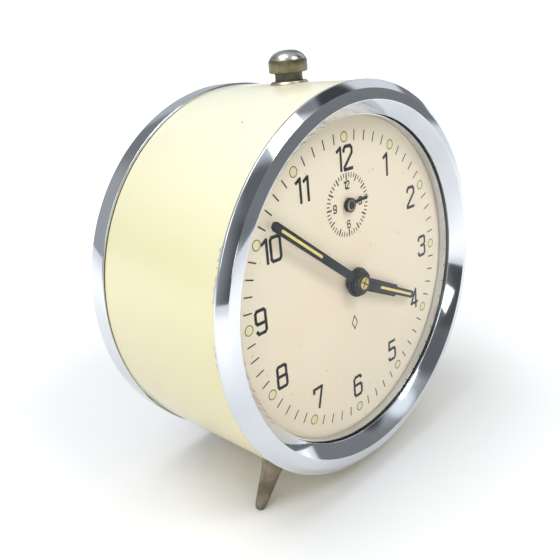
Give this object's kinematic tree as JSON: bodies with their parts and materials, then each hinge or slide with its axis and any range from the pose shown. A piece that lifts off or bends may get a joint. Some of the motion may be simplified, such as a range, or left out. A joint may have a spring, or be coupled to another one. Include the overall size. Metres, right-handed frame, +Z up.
{
  "type": "wind-up drum alarm clock",
  "caption": "Round wind-up alarm clock: enamelled drum with chromed bezel and rear ring, domed glass, hands, alarm sub-dial, stop button, rear keys and a full movement.",
  "frame": {"origin": "on the floor under the centre of the clock's bounding box", "axes": "the dial faces -Y and leans back 5.3 degrees, +X is to the right of the dial, +Z is up"},
  "size_m": [0.105, 0.0656, 0.115],
  "materials": {
    "cream_enamel": "gloss",
    "chrome": "polished",
    "nickel": "worn satin",
    "window": "clear",
    "dial_paint": "matte",
    "hand_black": "satin",
    "brass": "satin",
    "steel": "satin",
    "spring_steel": "blued"
  },
  "bodies": {
    "case": {"case_drum": "cream_enamel", "front_bezel": "chrome", "crystal": "window", "dial_spacer_ring": "dial_paint", "dial": "dial_paint", "rear_ring": "chrome", "rear_cover": "steel", "pillars": "steel", "nuts": "steel", "screws": "steel", "plate_studs": "steel", "left_foot": "nickel", "right_foot": "nickel", "button_collar": "nickel", "front_plate": "brass", "rear_plate": "brass", "case_lugs": "steel", "time_mainspring": "spring_steel", "alarm_mainspring": "spring_steel", "balance_bearings": "brass", "hairspring": "spring_steel", "alarm_release_spring": "spring_steel", "bell": "steel"},
    "button": {"stop_button": "nickel"},
    "stop_arm": {"stop_lever": "steel"},
    "time_winder": {"time_key": "nickel", "time_winding_arbor": "steel", "time_ratchet": "steel"},
    "great": {"great_wheel": "brass", "time_click_spring": "spring_steel"},
    "time_pawl": {"time_click": "steel"},
    "centre": {"centre_wheel": "brass"},
    "third": {"third_wheel": "brass"},
    "fourth": {"fourth_wheel": "brass"},
    "escape": {"escape_wheel": "brass"},
    "pallets": {"pallet_fork": "steel"},
    "balance": {"balance_wheel": "brass", "balance_staff": "steel"},
    "regulator": {"regulator_lever": "steel"},
    "minute_hand_arbor": {"cannon_pinion": "brass", "minute_hand": "hand_black", "hand_set_knob": "nickel", "centre_arbor": "steel", "clutch_spring": "spring_steel"},
    "minute": {"minute_wheel": "brass"},
    "hour": {"hour_wheel": "brass", "hour_hand": "hand_black"},
    "alarm_dial_wheel": {"alarm_wheel": "brass"},
    "alarm_setter": {"alarm_arbor": "steel", "alarm_hand": "hand_black", "alarm_set_knob": "nickel"},
    "alarm_winder": {"alarm_key": "nickel", "alarm_winding_arbor": "steel", "alarm_ratchet": "steel"},
    "alarm_great": {"alarm_great_wheel": "brass"},
    "alarm_pawl": {"alarm_click": "steel"},
    "alarm_escape": {"alarm_escape_wheel": "brass"},
    "striker": {"hammer": "steel"}
  },
  "joints": [
    {"name": "stop_button_press", "type": "slide", "parent": "case", "child": "button", "axis": [0, 0.0924, 0.9957], "range_m": [-0.002, 0], "stiffness_N_per_m": 300, "springref_m": 0.001},
    {"name": "stop_lever_turn", "type": "hinge", "parent": "case", "child": "stop_arm", "pos_m": [-0.015, -0.00101, 0.09115], "axis": [0, 0.9957, -0.0924], "range_deg": [0, 7.5]},
    {"name": "time_winding", "type": "hinge", "parent": "case", "child": "time_winder", "pos_m": [0.01819, 0.02303, 0.04172], "axis": [0, 0.9957, -0.0924], "range_deg": [-1800, 0]},
    {"name": "great_wheel_run", "type": "hinge", "parent": "case", "child": "great", "pos_m": [0.01819, -0.01421, 0.04518], "axis": [0, 0.9957, -0.0924], "continuous": true},
    {"name": "time_click_lift", "type": "hinge", "parent": "great", "child": "time_pawl", "pos_m": [0.0164, -0.01188, 0.05515], "axis": [0, 0.9957, -0.0924], "range_deg": [-8, 0], "stiffness_Nm_per_rad": 0.0004},
    {"name": "centre_wheel_run", "type": "hinge", "parent": "case", "child": "centre", "pos_m": [0, -0.00189, 0.05458], "axis": [0, 0.9957, -0.0924], "continuous": true},
    {"name": "third_wheel_run", "type": "hinge", "parent": "case", "child": "third", "pos_m": [0.00965, 0.00105, 0.06244], "axis": [0, 0.9957, -0.0924], "continuous": true},
    {"name": "fourth_wheel_run", "type": "hinge", "parent": "case", "child": "fourth", "pos_m": [0.01996, -0.00368, 0.06886], "axis": [0, 0.9957, -0.0924], "continuous": true},
    {"name": "escape_wheel_run", "type": "hinge", "parent": "case", "child": "escape", "pos_m": [0.01626, -0.00623, 0.07928], "axis": [0, 0.9957, -0.0924], "continuous": true},
    {"name": "balance_swing", "type": "hinge", "parent": "case", "child": "balance", "pos_m": [0.00284, 0.00066, 0.08643], "axis": [0, 0.9957, -0.0924], "range_deg": [-270, 270], "stiffness_Nm_per_rad": 0.00002},
    {"name": "pallet_fork_rock", "type": "hinge", "parent": "case", "child": "pallets", "pos_m": [0.01003, -0.0049, 0.08278], "axis": [0, 0.9957, -0.0924], "range_deg": [-5, 5]},
    {"name": "regulator_shift", "type": "hinge", "parent": "case", "child": "regulator", "pos_m": [0.00284, 0.00693, 0.08585], "axis": [0, 0.9957, -0.0924], "range_deg": [-18, 18]},
    {"name": "hand_setting", "type": "hinge", "parent": "case", "child": "minute_hand_arbor", "pos_m": [0, 0.024, 0.05218], "axis": [0, 0.9957, -0.0924], "continuous": true},
    {"name": "minute_wheel_turn", "type": "hinge", "parent": "case", "child": "minute", "pos_m": [0.00581, -0.01646, 0.06648], "axis": [0, 0.9957, -0.0924], "continuous": true},
    {"name": "hour_hand_turn", "type": "hinge", "parent": "case", "child": "hour", "pos_m": [0, -0.01952, 0.05622], "axis": [0, 0.9957, -0.0924], "continuous": true},
    {"name": "alarm_wheel_turn", "type": "hinge", "parent": "case", "child": "alarm_dial_wheel", "pos_m": [0, -0.01758, 0.07713], "axis": [0, 0.9957, -0.0924], "continuous": true},
    {"name": "alarm_setting", "type": "hinge", "parent": "case", "child": "alarm_setter", "pos_m": [0, 0.02593, 0.07309], "axis": [0, 0.9957, -0.0924], "continuous": true},
    {"name": "alarm_winding", "type": "hinge", "parent": "case", "child": "alarm_winder", "pos_m": [-0.01819, 0.02303, 0.04172], "axis": [0, 0.9957, -0.0924], "range_deg": [-1440, 0]},
    {"name": "alarm_great_wheel_run", "type": "hinge", "parent": "case", "child": "alarm_great", "pos_m": [-0.01819, -0.01421, 0.04518], "axis": [0, 0.9957, -0.0924], "continuous": true},
    {"name": "alarm_click_lift", "type": "hinge", "parent": "alarm_great", "child": "alarm_pawl", "pos_m": [-0.0198, -0.01197, 0.05417], "axis": [0, 0.9957, -0.0924], "range_deg": [-8, 0], "stiffness_Nm_per_rad": 0.0004},
    {"name": "alarm_escape_run", "type": "hinge", "parent": "case", "child": "alarm_escape", "pos_m": [-0.024, -0.00398, 0.06027], "axis": [0, 0.9957, -0.0924], "continuous": true},
    {"name": "hammer_swing", "type": "hinge", "parent": "case", "child": "striker", "pos_m": [-0.03128, 0.00617, 0.06355], "axis": [0, 0.9957, -0.0924], "range_deg": [-5.5, 3]}
  ],
  "couplings": [
    {"joint": "stop_lever_turn", "follows": "stop_button_press", "rad_per_m": -64},
    {"joint": "fourth_wheel_run", "follows": "escape_wheel_run", "ratio": -0.125},
    {"joint": "third_wheel_run", "follows": "escape_wheel_run", "ratio": 0.016667},
    {"joint": "centre_wheel_run", "follows": "escape_wheel_run", "ratio": -0.0020833},
    {"joint": "great_wheel_run", "follows": "escape_wheel_run", "ratio": 0.00034722},
    {"joint": "pallet_fork_rock", "follows": "balance_swing", "ratio": 0.018519},
    {"joint": "minute_wheel_turn", "follows": "hand_setting", "ratio": -0.33333},
    {"joint": "hour_hand_turn", "follows": "hand_setting", "ratio": 0.083333},
    {"joint": "alarm_wheel_turn", "follows": "hand_setting", "ratio": 0.083333},
    {"joint": "alarm_great_wheel_run", "follows": "alarm_escape_run", "ratio": -0.13333}
  ]
}
